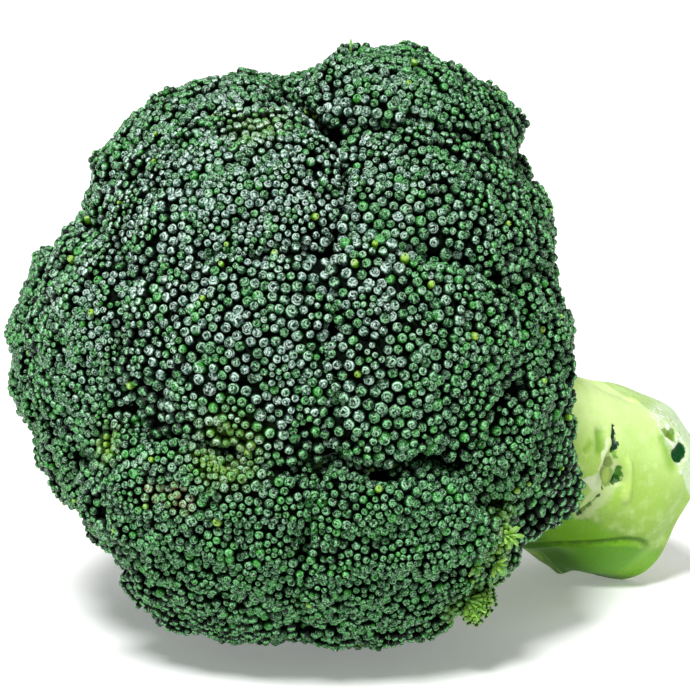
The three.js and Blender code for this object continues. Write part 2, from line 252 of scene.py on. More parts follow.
# The marks of the side in view, laid over one another in this order. Each is a strip from one
# place to another, given as millimetres round the stem and height, with its half width at either
# end, how soft its edge is, how far it stands out, its colour on screen and its strength.
STEM_MARKS = (
    # The green hollow beside the big scar
    ((8.2, -73.4), (4.2, -74.4), (1.3, 1.6), 0.9, -1.3, (106, 160, 10), 0.75),
    ((4.6, -70.9), (2.4, -69.4), (0.9, 0.6), 0.8, -0.4, (130, 182, 34), 0.6),
    # The big scar: its lip, its cut tissue, a torn flap and the pale edge above it
    ((3.6, -82.4), (-4.0, -84.4), (0.8, 1.1), 0.9, 1.0, (198, 226, 124), 0.5),
    ((5.6, -77.9), (-0.6, -79.0), (0.9, 3.7), 0.25, -1.1, (182, 204, 132), 0.9),
    ((-0.6, -79.0), (-13.4, -77.0), (3.7, 1.9), 0.25, -0.9, (184, 206, 138), 0.9),
    ((-4.0, -75.4), (-4.6, -71.8), (2.3, 0.6), 0.3, 0.5, (200, 214, 172), 0.95),
    ((7.6, -76.0), (-0.6, -75.4), (0.35, 0.7), 0.4, 0.3, (212, 224, 178), 0.9),
    # Its rings of tubes
    ((2.4, -77.8), (2.0, -77.9), (1.5, 1.4), 0.2, -0.2, (106, 134, 46), 0.85),
    ((0.8, -77.1), (0.9, -79.0), (0.35, 0.35), 0.5, 0.2, (222, 234, 176), 0.9),
    ((-0.6, -78.5), (-2.0, -78.9), (2.1, 1.7), 0.2, -0.3, (104, 136, 44), 0.8),
    ((-0.7, -78.5), (-1.9, -78.9), (1.4, 1.2), 0.4, 0.2, (156, 182, 84), 0.9),
    # The dark green crescent inside the lip
    ((2.0, -81.1), (-0.8, -81.8), (0.5, 0.8), 0.3, -0.7, (44, 112, 6), 0.95),
    ((-0.8, -81.8), (-2.4, -80.9), (0.8, 0.4), 0.3, -0.7, (24, 84, 4), 0.95),
    # Dark pits and the streak down the scar's tail
    ((-4.4, -78.5), (-4.5, -78.6), (0.45, 0.45), 0.4, -0.3, (40, 76, 8), 0.9),
    ((-6.8, -78.2), (-7.3, -78.0), (0.5, 0.4), 0.4, -0.3, (36, 76, 6), 0.95),
    ((-7.2, -78.0), (-13.6, -76.8), (0.2, 0.3), 0.6, -0.2, (86, 122, 34), 0.8),
    ((-9.8, -77.4), (-13.4, -76.9), (0.5, 0.65), 0.4, -0.4, (86, 124, 26), 0.8),
    ((-13.7, -76.8), (-14.2, -76.7), (0.6, 0.5), 0.3, -0.4, (22, 54, 14), 0.95),
    # The dark sliver above it
    ((11.5, -77.2), (8.6, -77.5), (0.45, 0.85), 0.2, -0.8, (3, 44, 28), 1),
    ((8.6, -77.5), (5.5, -78.0), (0.85, 0.5), 0.2, -0.8, (3, 48, 28), 1),
    ((7.4, -78.4), (6.9, -78.7), (0.5, 0.3), 0.3, 0, (6, 58, 30), 1),
    ((5.1, -78.2), (4.3, -79.2), (0.6, 0.5), 0.4, 0, (104, 156, 34), 0.85),
    # The second scar, at the peeled corner, with a painted shadow in its first strip,
    # below the peeled facet
    ((12.6, -91.2), (7.6, -93.6), (1.2, 1.6), 1.0, -0.4, (120, 172, 26), 0.7),
    ((16.2, -94.8), (13.4, -93.6), (0.5, 1.3), 0.4, -0.3, (90, 140, 10), 0.85),
    ((14.8, -91.9), (13.6, -93.6), (0.8, 1.0), 0.4, -0.3, (98, 134, 20), 0.8),
    ((12.8, -92.6), (11.6, -94.2), (0.5, 0.6), 0.5, 0.3, (228, 238, 212), 0.9),
    ((12.4, -97.2), (10.0, -95.6), (1.5, 1.7), 0.15, -1.0, (2, 66, 22), 1),
    # The bead where the peel starts
    ((26.4, -89.0), (25.6, -89.2), (1.4, 1.3), 0.3, 1.0, (176, 214, 110), 0.8),
)

# The peeled corner: the height of its edge, where that starts to drop round the stem, and how
PEEL_HEIGHT = -90
PEEL_FROM = 19
PEEL_FALL = 0.0048
PEEL_POWER = 2.9

# The fold low on the stem: its highest turn, where that is, and how it falls off to either side
FOLD_TURN = -120
FOLD_HEIGHT = -95
FOLD_CURVE = 0.16
FOLD_ENDS = ((-99, -95), (-74, -80))
FOLD_STEP, FOLD_STEP_WIDTH = 0.8, 8
FOLD_GROOVE, FOLD_GROOVE_WIDTH = 0.6, 0.7

# The branches, as the solids have them, and the branchlets that they divide into
HIGHEST_ROOT = -28
LOWEST_ROOT = -56
RIM_POLAR = 108
ELBOW_SHARE = 0.35
ELBOW_DROP = 9
BRANCH_OUTLINE = ((0, 7.5), (0.4, 6.5), (0.62, 5.5), (0.85, 5.2), (1, 5.0))
BRANCHLET_FROM = 0.72
BRANCHLET_RADII = (2.6, 1.6)
BRANCHLET_REACH = 0.62
BRANCHLET_HANDLE = (9, 0.12)
BRANCH_STEPS, BRANCH_SIDES = 26, 16
BRANCHLET_STEPS, BRANCHLET_SIDES = 12, 8
ROUGH_STEM_FOOT, ROUGH_STEM_ROWS, ROUGH_STEM_SIDES, ROUGH_STEM_TOP = -76, 40, 96, 9.0
STEM_UNDERLAP = 1.2
VOXEL = 1.6
SMOOTHING_ROUNDS = 3

# The camera stands as the photograph's did
AZIMUTH = math.radians(-35)
ELEVATION = math.radians(11)
CAMERA_DISTANCE = 600
AIM_RIGHT = 9.56
AIM_UP = 0.57
LENS = 132.6

# The lights: direction towards each, strength and width in degrees; the room's and the floor's own
LIGHTS = (("key", (-0.56, -0.44, 1.1), 3.7, 14), ("top", (0.1, 0.2, 1.0), 0.6, 40))
ROOM_LIGHT = 0.18
FLOOR_GLOW = 0.25
FLOOR_RADIUS = 6000


def around(turn, across, height):
    """Points round the upright axis: at a turn, a distance from it and a height."""
    return np.stack([across * np.cos(turn), across * np.sin(turn), height + 0 * turn], axis=-1)


def plant_direction(polar, turn):
    """The unit vector at an angle from the top of the crown and a turn round the plant."""
    polar, turn = np.radians(polar), np.radians(turn)
    return around(turn, np.sin(polar), np.cos(polar))


def lengths(vectors):
    """How long each vector is."""
    return np.linalg.norm(vectors, axis=-1)


def unit(vectors):
    """The vectors at length one."""
    return vectors / lengths(vectors)[..., None]


def golden_turns(count):
    """Turns that grow by the golden angle."""
    return np.arange(count) * math.pi * (3 - math.sqrt(5))


def golden_sphere(count):
    """Even directions: the heights are evenly spaced and each turns by the golden angle."""
    z = 1 - (2 * np.arange(count) + 1) / count
    return around(golden_turns(count), np.sqrt(1 - z * z), z)


def side_axes(axes):
    """Two unit vectors square to each axis and to each other."""
    helper = np.where(np.abs(axes[..., 2:3]) < 0.9, [[0.0, 0.0, 1.0]], [[1.0, 0.0, 0.0]])
    first = unit(np.cross(axes, helper))
    return first, np.cross(axes, first)


def turned(first, second, turn):
    """Directions round an axis: from its first side axis towards its second by a turn."""
    return first * np.cos(turn) + second * np.sin(turn)


def to_row(points):
    """Plant millimetres to row metres: turned about +Y by the stem's slope less a quarter turn."""
    sine, cosine = math.sin(STEM_SLOPE), math.cos(STEM_SLOPE)
    x = points[..., 0] * sine - points[..., 2] * cosine
    z = points[..., 0] * cosine + points[..., 2] * sine
    return (np.stack([x, points[..., 1], z], axis=-1) + CROWN_AT) * MM


def from_row(points):
    """Row metres to plant millimetres, the way back from to_row()."""
    sine, cosine = math.sin(STEM_SLOPE), math.cos(STEM_SLOPE)
    away = points / MM - CROWN_AT
    x = away[:, 0] * sine + away[:, 2] * cosine
    z = away[:, 2] * sine - away[:, 0] * cosine
    return np.stack([x, away[:, 1], z], axis=1)


def below(points, lowest):
    """How far points lie below a height over the floor, in millimetres."""
    return np.clip(lowest - to_row(points)[..., 2] / MM, 0, None)


def bump_field(points, size, seed):
    """A smooth random number for each point, from -1 to 1: the mean of a few sine waves of
    about the wavelength given, each in a random direction and phase."""
    draw = np.random.default_rng(seed)
    count = 9
    waves = unit(draw.normal(size=(count, 3))) * (2 * math.pi / size)
    waves = waves * draw.uniform(0.7, 1.4, (count, 1))
    phases = draw.uniform(0, 2 * math.pi, count)
    return np.sin(points @ waves.T + phases).mean(axis=1) * 2


def wave_field(points, length):
    """A smooth wavy number for each point, from -1 to 1: two products of sines, askew."""
    x, y, z = np.moveaxis(points, -1, 0) * (2 * math.pi / length)
    return (np.sin(0.8 * x + 0.5 * y) * np.sin(0.7 * y - 0.6 * z + 1)
            + np.sin(0.9 * z + 0.4 * x + 2) * np.sin(0.6 * x - 0.7 * y)) / 1.6


class Floret:
    """A lobe of the crown: a flattened ball, parted from the lobes round it by flat walls."""

    def __init__(self, number, row):
        polar, turn, self.width, lift, self.bud = row
        self.name = f"floret_{number:02d}"
        self.number = number
        self.polar = polar
        self.axis = plant_direction(polar, turn)
        across = math.hypot(self.axis[0], self.axis[1]) / CROWN_RADIUS
        crown_reach = 1 / math.hypot(across, self.axis[2] / CROWN_RISE)
        self.reach_out = crown_reach + lift - LOBE_HALF_HEIGHT
        self.centre = self.axis * self.reach_out

    def add_walls(self, others):
        """A wall towards each other lobe, in the plane where the two balls meet."""
        self.centres, self.axes, self.widths, numbers = (
            np.array([getattr(other, name) for other in others])
            for name in ("centre", "axis", "width", "number")
        )
        away = self.centres - self.centre
        apart = lengths(away)
        self.normals = away / apart[:, None]
        self.walls = (apart**2 + self.width**2 - self.widths**2) / (2 * apart)
        self.wave = np.copysign(WALL_WAVE, numbers - self.number)

    def ball_reach(self, directions):
        """How far the lobe's bare ball reaches: the formula of a flattened ball."""
        along = directions @ self.axis
        across = 1 - np.clip(along * along, 0, 1)
        return 1 / np.sqrt((along / LOBE_HALF_HEIGHT) ** 2 + across / self.width**2)

    def reach(self, directions):
        """How far the lobe's surface is from its middle: the ball's and the walls' distances,
        blended as the sum of their inverse powers, so that edges come out rounded. The walls are
        a little wavy, in step with the neighbours' walls."""
        ball = self.ball_reach(directions)
        facing = np.clip(directions @ self.normals.T, 1e-6, None)
        to_wall = np.minimum(self.walls / facing, FARTHEST_WALL)
        spots = self.centre + directions[:, None] * to_wall[:, :, None]
        walls = self.walls + self.wave * wave_field(spots, WALL_WAVE_LENGTH)
        power = LOBE_ROUNDING
        return (ball**-power + ((facing / walls) ** power).sum(axis=1)) ** (-1 / power)

    def standing_out(self, points):
        """How far each point stands out of the neighbour whose wall is nearest, less where it is
        sunk in. A point well inside the lobe's own walls always stands out."""
        facing = (points - self.centre) @ self.normals.T
        wave = self.wave * wave_field(points, WALL_WAVE_LENGTH)[:, None]
        inside = self.walls + wave - facing
        nearest = inside.argmin(axis=1)
        away = points - self.centres[nearest]
        along = (away * self.axes[nearest]).sum(axis=1)
        across = np.clip((away**2).sum(axis=1) - along**2, 0, None)
        ball = np.sqrt((along / LOBE_HALF_HEIGHT) ** 2 + across / self.widths[nearest] ** 2)
        return np.where(inside.min(axis=1) > WELL_INSIDE, FAR_OUT, (ball - 1) * LOBE_HALF_HEIGHT)

    def clump_share(self, points):
        """The nearest clump to each point, and how far off it is, as a share of a clump."""
        apart = lengths(points[:, None] - self.clumps[None])
        nearest = apart.argmin(axis=1)
        return nearest, np.clip(apart.min(axis=1) / CLUMP_EDGE, 0, 1)

    def skin(self, directions):
        """Points of the lobe's surface with its clumps, each a dome that falls with the square of
        the distance from its middle."""
        bare = self.centre + directions * self.reach(directions)[:, None]
        share = self.clump_share(bare)[1]
        relief = CLUMP_RELIEF * (0.5 - share**2) - PATCH_DIP * patch_share(bare)
        relief += SKIN_SWELL * bump_field(bare, SKIN_SWELL_LENGTH, self.number) - SKIN_SINK
        for polar, turn, width, out in CROWN_SWELLINGS:
            apart = lengths(bare - plant_direction(polar, turn) * CROWN_RADIUS)
            relief += out * np.exp(-((apart / width) ** 2))
        return bare + directions * relief[:, None]


def patch_share(points, patches=LIME_PATCHES):
    """How far each point lies in a patch, from 0 to 1: a bell round each patch's middle."""
    total = np.zeros(len(points))
    for polar, turn, radius in patches:
        patch = plant_direction(polar, turn) * CROWN_RADIUS
        total += np.exp(-((lengths(points - patch) / radius) ** 2))
    return np.clip(total, 0, 1)


def settle(points, radii_of, keep_on, rounds):
    """Pushes points apart until each is about its own and its neighbour's radius away, and puts
    them back on their surface after every round."""
    for _ in range(rounds):
        radii = radii_of(points)
        square = (points**2).sum(axis=1)
        apart = np.sqrt(np.clip(square[:, None] + square[None] - 2 * points @ points.T, 1e-6, None))
        push = np.clip((radii[:, None] + radii[None]) / apart - 1, 0, PUSH_LIMIT)
        np.fill_diagonal(push, 0)
        moves = points * push.sum(axis=1, keepdims=True) - push @ points
        points = keep_on(points + PUSH_SHARE * moves)
    return points


def place_clumps(floret):
    """Clumps over a lobe's open side: as many as fit at their spacing, pushed apart evenly."""
    directions = golden_sphere(TRIAL_DIRECTIONS)
    points = floret.centre + directions * floret.reach(directions)[:, None]
    height = (points - floret.centre) @ floret.axis
    is_open = (height > 0) & (floret.standing_out(points) > DEEPEST_IN_CREASE)
    area = (floret.reach(directions[is_open]) ** 2).sum() * 4 * math.pi / TRIAL_DIRECTIONS
    count = max(FEWEST_CLUMPS, round(area / CLUMP_AREA))
    draw = np.random.default_rng(CLUMP_SEED + floret.number)
    chosen = points[is_open][draw.choice(is_open.sum(), count, replace=False)]

    def keep_on(moved):
        """Back to the bare lobe, and no lower than its open side."""
        away = moved - floret.centre
        low = np.clip(CLUMP_RIM_HEIGHT - away @ floret.axis, 0, None)
        away = unit(away + floret.axis * low[:, None])
        return floret.centre + away * floret.reach(away)[:, None]

    def room(moved):
        """The half width of a clump."""
        return np.full(len(moved), CLUMP_SPACING / 2)

    floret.clumps = settle(chosen, room, keep_on, CLUMP_ROUNDS)


def bud_radii(floret, points):
    """Bud sizes: smallest at the middle of a clump and in a young patch, largest between clumps."""
    share = floret.clump_share(points)[1]
    grown = SMALLEST_SHARE + (LARGEST_SHARE - SMALLEST_SHARE) * share * share * (3 - 2 * share)
    grown = grown * (1 + SIZE_WAVE * bump_field(points, SIZE_WAVE_LENGTH, 7))
    return BUD_GROWTH * floret.bud * grown * (1 - YOUNG_SHRINK * patch_share(points))


def place_buds(floret):
    """Bud places on a lobe: drawn at random as densely as their sizes call for, then settled."""
    directions = golden_sphere(TRIAL_DIRECTIONS)
    points = floret.skin(directions)
    radii = bud_radii(floret, points)
    first, second = side_axes(directions)
    along_first = floret.skin(unit(directions + NUDGE * first)) - points
    along_second = floret.skin(unit(directions + NUDGE * second)) - points
    area = lengths(np.cross(along_first, along_second)) / NUDGE**2
    area *= 4 * math.pi / TRIAL_DIRECTIONS
    height = (points - floret.centre) @ floret.axis
    is_open = (height > RIM_HEIGHT) & (floret.standing_out(points) > DEEPEST_IN_CREASE)
    wanted = np.where(is_open, area / (2 * math.sqrt(3) * (BUD_SPACING * radii) ** 2), 0)
    draw = np.random.default_rng(BUD_SEED + floret.number)
    count = min(round(wanted.sum() * BUD_PACKING), is_open.sum())
    chosen = draw.choice(TRIAL_DIRECTIONS, count, replace=False, p=wanted / wanted.sum())

    def keep_on(moved):
        """Back to the lobe's surface along the line to its middle."""
        return floret.skin(unit(moved - floret.centre))

    def room(moved):
        """The half width of the room that each bud takes up."""
        return BUD_SPACING * bud_radii(floret, moved)

    places = settle(points[chosen], room, keep_on, BUD_ROUNDS)
    radii = bud_radii(floret, places)
    height = (places - floret.centre) @ floret.axis
    keep = (height > RIM_HEIGHT - 1) & (floret.standing_out(places) > DEEPEST_IN_CREASE - 1)
    return places[keep], radii[keep]


def bud_pattern():
    """One bud: rings round its axis, with its points, faces and, for each point, its place on a
    disc whose middle is the tip."""
    turn = np.arange(BUD_SIDES) * 2 * math.pi / BUD_SIDES
    points, disc = [[0, 0, BUD_TIP_HEIGHT]], [[0, 0]]
    for k, (across, height) in enumerate(BUD_RINGS):
        points += around(turn, across, height).tolist()
        disc += around(turn, (k + 1) / len(BUD_RINGS), 0)[:, :2].tolist()
    ring = np.arange(BUD_SIDES)
    after = (ring + 1) % BUD_SIDES
    faces = [[0, 1 + a, 1 + b] for a, b in zip(ring, after)]
    for k in range(len(BUD_RINGS) - 1):
        upper, lower = 1 + k * BUD_SIDES, 1 + (k + 1) * BUD_SIDES
        faces += [[upper + a, lower + a, lower + b, upper + b] for a, b in zip(ring, after)]
    last = 1 + (len(BUD_RINGS) - 1) * BUD_SIDES
    faces.append([last + a for a in ring[::-1]])
    return np.array(points), np.array(disc), faces


def spread_out(pattern, centres, *halves):
    """A copy of the pattern at each centre, on three side vectors of its half sizes."""
    return centres[:, None] + sum(
        pattern[None, :, k:k + 1] * half[:, None] for k, half in enumerate(halves)
    )


def put(name, data):
    """A new object in the scene, at the origin."""
    made = bpy.data.objects.new(name, data)
    bpy.context.scene.collection.objects.link(made)
    return made


class Shape:
    """Points, faces and colour data gathered into one mesh."""

    def __init__(self):
        self.points, self.corners, self.sizes = [], [], []
        self.disc, self.tint, self.slots = [], [], []
        self.count = 0

    def add(self, points, faces, disc=(0, 0), tint=(0, 0, 0, 0), slot=0):
        """Adds copies of one pattern of faces: points is copies by points by three."""
        copies, each = points.shape[:2]
        corners = join([np.asarray(face) for face in faces])
        start = self.count + each * np.arange(copies)[:, None]
        self.points.append(points.reshape(-1, 3))
        self.corners.append((corners[None] + start).ravel())
        self.sizes.append(np.tile([len(face) for face in faces], copies))
        self.slots.append(np.full(copies * len(faces), slot))
        self.disc.append(np.broadcast_to(disc, (copies, each, 2)).reshape(-1, 2))
        self.tint.append(np.broadcast_to(tint, (copies, each, 4)).reshape(-1, 4))
        self.count += copies * each

    def build(self, name, materials):
        """The mesh object, with a smooth finish, its UV map and its tint."""
        points = to_row(join(self.points))
        corners, sizes = join(self.corners), join(self.sizes)
        mesh = bpy.data.meshes.new(name)
        mesh.vertices.add(len(points))
        mesh.vertices.foreach_set("co", points.ravel())
        mesh.loops.add(len(corners))
        mesh.loops.foreach_set("vertex_index", corners.astype(np.int32))
        mesh.polygons.add(len(sizes))
        starts = join([[0], np.cumsum(sizes)[:-1]])
        mesh.polygons.foreach_set("loop_start", starts.astype(np.int32))
        mesh.polygons.foreach_set("material_index", join(self.slots).astype(np.int32))
        mesh.polygons.foreach_set("use_smooth", np.ones(len(sizes), dtype=bool))
        mesh.update(calc_edges=True)
        disc = 0.5 + 0.5 * join(self.disc)
        mesh.uv_layers.new(name="UVMap").data.foreach_set("uv", disc[corners].ravel())
        tint = mesh.color_attributes.new(name="tint", type="FLOAT_COLOR", domain="POINT")
        tint.data.foreach_set("color", join(self.tint).ravel())
        mesh.validate()
        for material in materials:
            mesh.materials.append(material)
        return put(name, mesh)


def grid_faces(rows, columns, flip=False):
    """Quads between rows of points that close on themselves."""
    row, column = np.meshgrid(np.arange(rows - 1), np.arange(columns), indexing="ij")
    after = (column + 1) % columns
    quads = np.stack([row * columns + column, row * columns + after,
                      (row + 1) * columns + after, (row + 1) * columns + column], axis=-1)
    quads = quads.reshape(-1, 4)
    return (quads[:, ::-1] if flip else quads).tolist()


def closed_faces(rows, columns, flip=False):
    """The faces of a closed skin: quads between its rings, and a fan at either end round a point
    that comes after the rings."""
    ring = np.arange(columns)
    after = (ring + 1) % columns
    start = np.full(columns, rows * columns)
    last = (rows - 1) * columns
    fans = join([np.stack([start, after, ring], axis=1),
                 np.stack([start + 1, last + ring, last + after], axis=1)])
    return grid_faces(rows, columns, flip) + (fans[:, [0, 2, 1]] if flip else fans).tolist()


def add_buds(shape, floret):
    """Every bud of a floret: the pattern, stretched, turned and leaned out from its clump's root."""
    places, radii = place_buds(floret)
    draw = np.random.default_rng(LOOK_SEED + floret.number)
    count = len(places)
    nearest, share = floret.clump_share(places)
    roots = floret.clumps - unit(floret.clumps - floret.centre) * CLUMP_ROOT
    fan = unit(places - roots[nearest])
    outward = unit(places - floret.centre * OUTWARD_FROM)
    axes = unit(fan + OUTWARD_SHARE * outward + draw.normal(0, TILT_SPREAD, (count, 3)))
    lime = patch_share(places)
    stray = draw.random(count)
    lime = np.clip(lime * draw.uniform(*LIME_SPREAD, count), 0, 1)
    lime = np.where(stray > STRAY_FROM, STRAY_LIME, lime)
    lime -= RUST_STRENGTH * patch_share(places, RUST_PATCHES)
    radii = radii * np.clip(draw.normal(1, SIZE_SPREAD, count), *SIZE_LIMITS)
    radii = np.where(stray > STRAY_FROM, STRAY_SIZE * radii, radii)
    long = draw.uniform(*BUD_LENGTHS, count) * radii
    spin = draw.uniform(0, 2 * math.pi, count)[:, None]
    across = turned(*side_axes(axes), spin)
    other = np.cross(axes, across)
    pattern, disc, faces = bud_pattern()
    sunk = np.where(draw.random(count) < SUNK_SHARE, SUNK_DEPTH, 0)
    sunk = sunk + draw.normal(0, SUNK_SPREAD, count)
    centres = places + axes * (BUD_TIP - BUD_BASE * radii - sunk)[:, None]
    wide = radii[:, None]
    points = spread_out(pattern, centres, across * wide, other * wide, axes * long[:, None])
    points = points + UP * below(points, LOWEST_BUD).max(axis=1)[:, None, None]
    # Glaucous wax with painted light: most on the side that faces the key light, falling off round
    # the crown
    facing = ((places / CROWN_RADIUS - plant_direction(*BLOOM_AND_LIGHT_AT)) ** 2).sum(axis=1)
    bloom_and_light = LEAST_BLOOM_AND_LIGHT + (1 - LEAST_BLOOM_AND_LIGHT) * np.exp(-facing / BLOOM_AND_LIGHT_WIDTH)
    bloom_and_light = draw.random(count) * bloom_and_light
    tint = np.stack([draw.random(count), lime, bloom_and_light, share], axis=1)
    shape.add(points, faces, disc, tint[:, None])


def add_shoots(shape, row):
    """A spray of young shoots: long thin buds that leave one foot within a cone round a heading,
    evenly by the golden angle, with a small bud on each tip."""
    _, (polar, turn, reach), heading, count, spread, length, thick, wide, tip, lime = row
    draw = np.random.default_rng(SHOOT_SEED + round(polar + reach))
    pattern, disc, faces = bud_pattern()
    lean = math.radians(spread) * np.sqrt((np.arange(count) + 0.5) / count) * (count > 1)
    axis = plant_direction(*heading)[None]
    sideways = turned(*side_axes(axis), golden_turns(count)[:, None])
    ways = turned(axis, sideways, lean[:, None])
    steps = ways * (length * draw.uniform(*SHOOT_LENGTHS, count))[:, None]
    foot = plant_direction(polar, turn) * reach
    across, other = side_axes(ways)
    parts = [(foot + steps / 2, thick, wide, steps / 2, lime, SHOOT_DISC)]
    if tip:
        parts.append((foot + steps, tip, tip, ways * tip, TIP_LIME, disc))
    for centres, half_thick, half_wide, half_long, share, spots in parts:
        points = spread_out(pattern, centres, across * half_thick, other * half_wide, half_long)
        tones = draw.uniform(*SHOOT_TONES, count)
        tint = np.stack([tones, tones * 0 + share, tones * 0, tones * 0 + SHOOT_SHARE], axis=1)
        shape.add(points, faces, spots, tint[:, None])


def add_core(shape, floret):
    """The middle under a floret's buds, painted dark as shade on its upper side: its surface drawn
    in, but less where the lobe ends at its walls, and closed below by a flat side."""
    polar = np.linspace(0, math.pi, CORE_ROWS + 2)[1:-1, None, None]
    turn = np.linspace(0, 2 * math.pi, CORE_COLUMNS, endpoint=False)[None, :, None]
    directions = turned(floret.axis, turned(*side_axes(floret.axis[None]), turn), polar)
    ends = np.stack([floret.axis, -floret.axis])
    every = join([directions.reshape(-1, 3), ends])
    skin = lengths(floret.skin(every) - floret.centre)
    at_ball = (floret.reach(every) / floret.ball_reach(every)) ** LOBE_ROUNDING
    reach = skin - CORE_SINK * at_ball
    down = np.clip(-(every @ floret.axis), 1e-6, None)
    reach = np.minimum(reach, CORE_FLAT / down)
    points = floret.centre + every * reach[:, None]
    faces = closed_faces(CORE_ROWS, CORE_COLUMNS, flip=True)
    # How high on the core each point lies: its upper side takes painted shade
    high = np.clip((every @ floret.axis * reach / CORE_FADE + 1) / 2, 0, 1)
    tint = np.stack([0 * high + 0.5, patch_share(points), high, high], axis=1)
    points = points + UP * below(points, LOWEST_CORE)[:, None]
    shape.add(points[None], faces, CORE_DISC, tint[None], slot=1)


def catmull(knots, share):
    """Points on a smooth curve through knots: on each span a cubic whose slope at a knot is half
    the step between the knots on either side."""
    knots = np.asarray(knots, dtype=float)
    padded = join([[2 * knots[0] - knots[1]], knots, [2 * knots[-1] - knots[-2]]])
    at = np.clip(np.asarray(share) * (len(knots) - 1), 0, len(knots) - 1 - 1e-9)
    span = at.astype(int)
    t = (at - span)[:, None]
    a, b, c, d = (padded[span + k] for k in range(4))
    return b + 0.5 * t * (c - a + t * (2 * a - 5 * b + 4 * c - d + t * (3 * (b - c) + d - a)))


def stem_bow(height):
    """How far the stem's middle line has bowed at each height."""
    share = np.clip(-height / STEM_LENGTH, 0, 1) ** SAG_POWER
    return np.stack([STEM_SAG[0] * share, STEM_SAG[1] * share, np.zeros_like(share)], axis=-1)


def closed_tube(centres, first, second, radii, sides):
    """A tube: a ring of points round each centre, with a point at either end."""
    turn = np.linspace(0, 2 * math.pi, sides, endpoint=False)
    ways = turned(first[:, None], second[:, None], turn[None, :, None])
    rings = centres[:, None] + radii[:, None, None] * ways
    points = join([rings.reshape(-1, 3), centres[:1], centres[-1:]])
    return points, closed_faces(len(centres), sides)


def stem_radius(heights):
    """The stem's bare radius at each height."""
    outline = catmull(STEM_OUTLINE, np.linspace(0, 1, 120))
    return np.interp(heights, outline[:, 1], outline[:, 0])


def stem_tube():
    """The stem's rough form, a little thinner than its skin, for the branches to grow out of."""
    heights = np.linspace(ROUGH_STEM_FOOT, STEM_TOP, ROUGH_STEM_ROWS)
    radii = np.append(stem_radius(heights[:-1]) - STEM_UNDERLAP, ROUGH_STEM_TOP)
    centres = stem_bow(heights)
    centres[:, 2] = heights
    each = np.ones((len(heights), 1))
    return closed_tube(centres, each * [1.0, 0, 0], each * [0, 1.0, 0], radii, ROUGH_STEM_SIDES)


def limb(path, radii, sides):
    """A round limb along a path, its rings square to the path."""
    along = unit(np.gradient(path, axis=0))
    helper = np.array([0.31, 0.94, 0.12])
    first = unit(np.cross(along, helper))
    return closed_tube(path, first, np.cross(along, first), radii, sides)


def bend(start, handle, end, steps):
    """A quadratic curve from start to end that leans towards its handle."""
    t = np.linspace(0, 1, steps)[:, None]
    return (1 - t) ** 2 * start + 2 * t * (1 - t) * handle + t * t * end


def branch_limbs(floret):
    """The branch to a floret and the branchlets that fan out from it to the clumps."""
    root_height = HIGHEST_ROOT + (LOWEST_ROOT - HIGHEST_ROOT) * floret.polar / RIM_POLAR
    root = stem_bow(np.array([root_height]))[0] + [0, 0, root_height]
    end = floret.axis * (floret.reach_out - UNDERSIDE_DEPTH + 1)
    elbow = floret.axis * ELBOW_SHARE * floret.reach_out - [0, 0, ELBOW_DROP]
    path = bend(root, elbow, end, BRANCH_STEPS)
    radii = np.interp(np.linspace(0, 1, BRANCH_STEPS), *zip(*BRANCH_OUTLINE))
    limbs = [limb(path, radii, BRANCH_SIDES)]
    leave = path[round(BRANCHLET_FROM * (BRANCH_STEPS - 1))]
    back, aside = BRANCHLET_HANDLE
    for away in floret.clumps - floret.centre:
        target = floret.centre + away * BRANCHLET_REACH
        handle = floret.centre - floret.axis * back + away * aside
        twig = bend(leave, handle, target, BRANCHLET_STEPS)
        limbs.append(limb(twig, np.linspace(*BRANCHLET_RADII, BRANCHLET_STEPS), BRANCHLET_SIDES))
    return limbs


def smoothed(points, edges, rounds):
    """Each point moved half way to the mean of its neighbours, round after round."""
    near = join([edges, edges[:, ::-1]])
    count = np.bincount(near[:, 0], minlength=len(points))[:, None]
    for _ in range(rounds):
        total = np.stack([np.bincount(near[:, 0], points[near[:, 1], k], len(points))
                          for k in range(3)], axis=1)
        points = 0.5 * points + 0.5 * total / count
    return points


def turn_from(turn, middle):
    """The turn from a middle, from -180 to 180 degrees."""
    return (turn - middle + 180) % 360 - 180


def bell(turn, height, place):
    """1 at a place on the stem, falling off as a bell of its two half widths."""
    middle, level, wide, high = place
    return np.exp(-((turn_from(turn, middle) / wide) ** 2) - ((height - level) / high) ** 2)


def under_fold(across, height):
    """How far round the stem a place lies under the fold, whose line is a parabola."""
    line = FOLD_TURN - FOLD_CURVE * (height - FOLD_HEIGHT) ** 2
    return (line - VIEW_TURN) * TURN_ARC - across


def smooth_step(value, low, high):
    """0 at low, 1 at high and 3t^2 - 2t^3 between; high may be the lower of the two."""
    if isinstance(value, Value):
        return value.smooth(low, high)
    t = np.clip((value - low) / (high - low), 0, 1)
    return t * t * (3 - 2 * t)


def strip_share(u, v, start, end, halves, soft):
    """1 inside a tapered strip from start to end and 0 outside, with a soft edge: from the
    distance to the nearest point of its middle line. It takes arrays or sockets' values."""
    across, along = end[0] - start[0], end[1] - start[1]
    share = ((u - start[0]) * across + (v - start[1]) * along) / (across**2 + along**2)
    if isinstance(share, Value):
        share = share.math("MAXIMUM", 0).math("MINIMUM", 1)
    else:
        share = np.clip(share, 0, 1)
    aside, beyond = u - start[0] - share * across, v - start[1] - share * along
    away = (aside * aside + beyond * beyond) ** 0.5
    away = away / (share * (halves[1] - halves[0]) + halves[0])
    return smooth_step(away, 1 + soft, 1 - soft)


